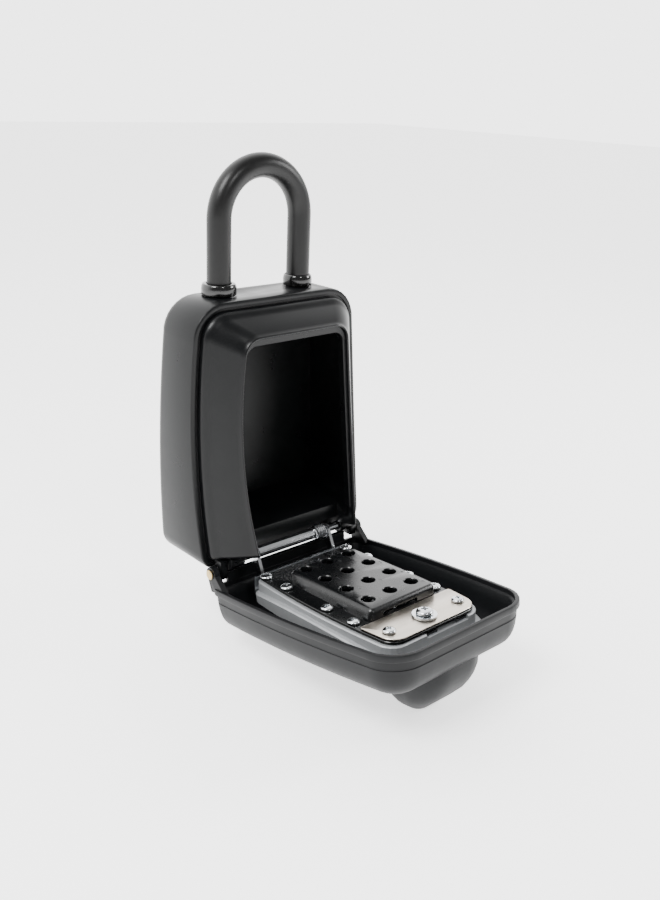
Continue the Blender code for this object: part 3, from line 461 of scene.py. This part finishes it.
# %% Add the nose and hollow it
NOSE = ((15.2, 66.0, 100.3, 18.6), (18.0, 66.3, 100.4, 18.3), (20.7, 66.8, 100.3, 17.8),
        (24.4, 67.8, 98.9, 17.0), (28.1, 69.0, 96.5, 16.0), (30.7, 70.2, 94.4, 14.9),
        (33.0, 71.5, 91.8, 13.5), (35.0, 72.9, 89.6, 12.0), (36.5, 74.0, 87.8, 10.5),
        (37.7, 75.2, 86.3, 8.9), (38.6, 76.9, 84.4, 6.6))


def nose_ring(depth, low, high, half, thick=0.0):
    """One level of the nose, as a rounded outline."""
    corner = 0.75 * min(half, (high - low) / 2)
    return ring(outline((half, 0.0, 0.0, low, high, corner, corner), thick), -5.75 - depth)


boolean(shell, drawn("nose", [nose_ring(*level) for level in NOSE], in_cover), "UNION")
hollow = [nose_ring(depth - (1.8 if depth > 19.5 else 0.0), low, high, half, 1.8)
          for depth, low, high, half in NOSE]
boolean(shell, drawn("hollow", hollow, in_cover))
boolean(shell, block("apron", (-33.5, 33.5), (-7.75, -0.9), (-1.2, 0.2), in_cover), "UNION")
EAR_R = 3.0
EAR_NEAR, EAR_FAR = 39.2, 41.8
for sign in (-1, 1):
    near, far = sorted((sign * EAR_NEAR, sign * EAR_FAR))
    turns = [math.radians(t) for t in range(-80, 101, 10)]
    ear = [(EAR_R * math.cos(t), EAR_R * math.sin(t)) for t in turns]
    ear += [(-6.75, 8.5), (-7.75, 7.0), (-7.75, -0.5)]
    ends = [[Vector((x, y, z)) for y, z in ear] for x in (near, far)]
    boolean(shell, drawn("ear", ends, in_cover), "UNION")
boolean(shell, drawn("ear_bore", turned(((1.5, -46.8), (1.5, 46.8)), "X"), in_cover))
done(shell, soft_skin, "cover", "weather_cover", angle=40.0)

# %% [markdown]
# ## The back of the mechanism
#
# A black moulding covers the mechanism: a flat flange with eight screws, and a raised
# box with twelve round windows through which the slotted stems are set to the code.
# A nickel-plated sheet closes the end over the knob.

# %% Mould the mechanism cover
FLANGE = (26.2, 1.42, 46.5, 8.2, 87.6, 1.2, 6.9)
RAISED = (18.5, 0.0, 0.0, 20.3, 70.3, 3.0, 3.0)
KEYS = [(name, (i % 3 - 1) * 12.0, 24.4 + (3 - i // 3) * 12.4) for i, name in enumerate("789456123a0b")]
SCREWS = [("flange_screw_%s_%d" % (side, row + 1), sign * 22.8, u, -6.5)
          for row, u in enumerate((11.3, 24.8, 49.8, 65.0)) for side, sign in (("left", -1), ("right", 1))]
SCREWS += [("end_plate_screw_" + side, sign * 19.2, 80.6, -5.4)
           for side, sign in (("left", -1), ("right", 1))]
rings = [ring(outline(RAISED, 1.7), -2.8), ring(outline(RAISED, 1.3), -7.9), ring(outline(FLANGE, 0.1), -7.9),
         ring(outline(FLANGE), -7.8), ring(outline(FLANGE), -7.0), ring(outline(FLANGE, 0.2), -6.8),
         ring(outline(RAISED, -0.4), -6.8), ring(outline(RAISED, -0.1), -6.7), ring(outline(RAISED), -6.4),
         ring(outline(RAISED, 0.3), -2.9), ring(outline(RAISED, 0.5), -2.5), ring(outline(RAISED, 1.3), -1.7),
         ring(outline(RAISED, 1.7), -1.5)]
cover = drawn("mechanism_moulding", rings, in_door)
windows = [drawn("window", turned(((2.8, -5.0), (2.8, -1.8), (3.1, -1.5), (3.2, -0.5)), "Y", (x, 0.0, u)),
                 in_door) for _, x, u in KEYS]
windows += [drawn("hole", turned(((1.3, -9.0), (1.3, -5.0)), "Y", (x, 0.0, u), 24), in_door)
            for _, x, u, _ in SCREWS]
windows.append(drawn("shaft_hole", turned(((2.3, -9.0), (2.3, -5.0)), "Y", (0.0, 0.0, 80.6)), in_door))
windows.append(block("wall_slot", (-12.0, 7.0), (-5.5, -3.9), (66.3, 71.3), in_door))
boolean(cover, together(windows))
done(cover, moulded_nylon, "door", "mechanism_cover")

# %% Stamp the end plate
PLATE = (25.8, 1.42, 46.5, 70.6, 87.6, 0.6, 6.9)
plate = drawn("stamped_end_plate", [ring(outline(PLATE, inset), y) for inset, y in
                                    ((0.15, -6.5), (0.0, -6.4), (0.0, -5.85), (0.15, -5.7))], in_door)
holes = [drawn("hole", turned(((r, -8.0), (r, -4.0)), "Y", (x, 0.0, 80.6), 32), in_door)
         for r, x in ((1.3, -19.2), (1.3, 19.2), (2.3, 0.0))]
boolean(plate, together(holes))
done(plate, rolled_nickel, "door", "end_plate")

# %% [markdown]
# ## Screws, stems and numbers
#
# The pan-head screws are cold-headed, with a cross recess punched into the dome; each
# stopped at its own angle. A stem ends in a slot that a small key turns, and the
# moulding carries a number beside each window.


# %% Pan-head screws with a cross recess
def pan_head(name, x, u, seat, head, shank, depth, turn):
    """One screw, drawn from its tip to its dome, with two tapered slots pressed in."""
    rise = 0.55 * head
    profile = [(shank * 0.6, seat - depth), (shank, seat - depth + 0.4), (shank, seat), (head - 0.1, seat),
               (head, seat + 0.08), (head, seat + 0.3 * rise)]
    for i in range(1, 7):
        swing = math.radians(72.0) * i / 6
        profile.append((head * math.cos(swing), seat + 0.3 * rise + 0.7 * rise * math.sin(swing)))
    screw = drawn(name, turned(profile, "Y", (x, 0.0, u), 32), in_door)
    for quarter in (0.0, 90.0):
        angle = math.radians(turn + quarter)
        out = Vector((math.cos(angle), 0.0, math.sin(angle)))
        side = Vector((-out.z, 0.0, out.x))
        rings = []
        for long, wide, level in ((0.16, 0.08, 0.05), (0.52, 0.17, 1.2)):
            middle = Vector((x, seat + level * rise, u))
            rings.append([middle + out * head * long * a + side * head * wide * b
                          for a, b in ((-1, -1), (1, -1), (1, 1), (-1, 1))])
        boolean(screw, drawn("slot", rings, in_door))
    return screw


for i, (name, x, u, seat) in enumerate(SCREWS):
    done(pan_head(name + "_head", x, u, seat, 2.6, 0.8, 5.0, 23.0 * i), zinc_plate, "door", name)
done(pan_head("knob_screw_head", 0.0, 80.6, -4.3, 3.4, 1.2, 1.3, 38.0), zinc_plate, "knob", "knob_screw")

# %% Push buttons with slotted stems
for i, (name, x, u) in enumerate(KEYS):
    profile = ((2.9, -18.9), (3.6, -18.75), (3.9, -18.5), (4.0, -18.2), (4.0, -14.0), (4.8, -14.0),
               (4.8, -13.1), (1.8, -13.1), (1.8, -3.7), (1.65, -3.5))
    button = drawn("push_button_" + name, turned(profile, "Y", (x, 0.0, u)), in_door)
    angle = math.radians(90.0 if i % 4 == 1 else 0.0)
    out = Vector((math.cos(angle), 0.0, math.sin(angle)))
    side = Vector((-out.z, 0.0, out.x))
    corners = ((-1, -1), (1, -1), (1, 1), (-1, 1))
    slot = [[Vector((x, y, u)) + out * 2.2 * a + side * 0.35 * b for a, b in corners]
            for y in (-4.4, -3.0)]
    boolean(button, drawn("slot", slot, in_door))
    done(button, moulded_nylon, "button_" + name, "button_" + name, soften=0.05)


# %% Numbers beside the windows
def number(text, x, u, y, size, facing, material, body):
    """A thin raised number, its foot towards the door's free end."""
    alone()
    bpy.ops.object.text_add(location=(0.0, 0.0, 0.0))
    mark = bpy.context.object
    mark.data.body = text
    mark.data.size = size * MM
    mark.data.extrude = 0.03 * MM
    mark.data.align_x = mark.data.align_y = "CENTER"
    bpy.ops.object.convert(target="MESH")
    axes = Matrix(((1, 0, 0), (0, 0, -facing), (0, facing, 0))).transposed().to_4x4()
    mark.data.transform(in_door @ Matrix.Translation(Vector((x, y, u)) * MM) @ axes)
    mark.name = mark.data.name = "number_" + text + ("_inside" if facing > 0 else "_cap")
    return done(mark, material, body)


for name, x, u in KEYS:
    if name.isdigit():
        # The moulded numbers are painted a lighter grey as a sheen; the real ones are the moulding's black.
        number(name, x + 4.0, u + 3.4, -1.48, 2.6, 1, numbers_painted_sheen, "door")
        number(name, x, u, -18.91, 4.2, -1, printed_white, "button_" + name)

# %% [markdown]
# ## The studio
#
# The safe stands over a pale light table that glows a little, so that its shadow is
# faint. The surround is a white backdrop that fades to a dark room in front: black
# gloss needs something dark to reflect, and a bright edge to outline it. One broad
# soft light hangs above on the left, and a narrow one on the right draws the rims.

# %% Floor and surround
alone()
bpy.ops.mesh.primitive_plane_add(size=8.0, location=(0.0, 0.0, cad_low.z))
floor = bpy.context.object
floor.name = "floor"
floor_paint = bpy.data.materials.new("light_table_acrylic")
floor_paint.use_nodes = True
table = floor_paint.node_tree.nodes["Principled BSDF"]
table.inputs["Base Color"].default_value = linear("f6f6f6")
table.inputs["Roughness"].default_value = 0.9
table.inputs["Emission Color"].default_value = linear("ffffff")
table.inputs["Emission Strength"].default_value = 1.5
floor.data.materials.append(floor_paint)

surround = bpy.data.worlds.new("white_backdrop")
surround.use_nodes = True
tree = surround.node_tree
backdrop = tree.nodes["Background"]
looking = add(tree, "ShaderNodeTexCoord").outputs["Generated"]
apart = add(tree, "ShaderNodeSeparateXYZ", links={"Vector": looking})
glow = add(tree, "ShaderNodeMapRange", {"From Min": -0.2, "From Max": 0.5, "To Min": 0.4, "To Max": 3.8},
           {"Value": apart.outputs["Y"]})
backdrop.inputs["Color"].default_value = linear("ffffff")
tree.links.new(glow.outputs["Result"], backdrop.inputs["Strength"])
bpy.context.scene.world = surround


def soft_light(name, place, aim, size, power):
    alone()
    bpy.ops.object.light_add(type="AREA", location=place)
    light = bpy.context.object
    light.name = name
    light.data.size = size
    light.data.energy = power
    light.rotation_euler = (Vector(aim) - Vector(place)).to_track_quat("-Z", "Y").to_euler()
    return light


MIDDLE = (0.0, -0.03, -0.10)
soft_light("key", (-0.55, -0.1, 0.65), MIDDLE, 0.35, 10.0)
soft_light("edge", (0.7, -0.35, 0.25), MIDDLE, 0.25, 4.0)
soft_light("front", (-0.1, -0.8, 0.6), MIDDLE, 0.12, 2.5)

# %% Camera
azimuth, elevation, roll = (math.radians(v) for v in (-42.63, 20.54, 2.47))
away = Vector((math.sin(azimuth) * math.cos(elevation), -math.cos(azimuth) * math.cos(elevation),
               math.sin(elevation)))
right = Vector((math.cos(azimuth), math.sin(azimuth), 0.0))
up = away.cross(right)
right, up = right * math.cos(roll) + up * math.sin(roll), up * math.cos(roll) - right * math.sin(roll)
pose = Matrix((right, up, away)).transposed().to_4x4()
pose.translation = CASE_ZERO + Vector((-0.2555, -0.3098, 0.1868))
alone()
bpy.ops.object.camera_add()
camera = bpy.context.object
camera.matrix_world = pose
camera.data.lens = 39.53
camera.data.sensor_width = 36.0
bpy.context.scene.camera = camera
print("camera at", [round(v, 3) for v in pose.translation])
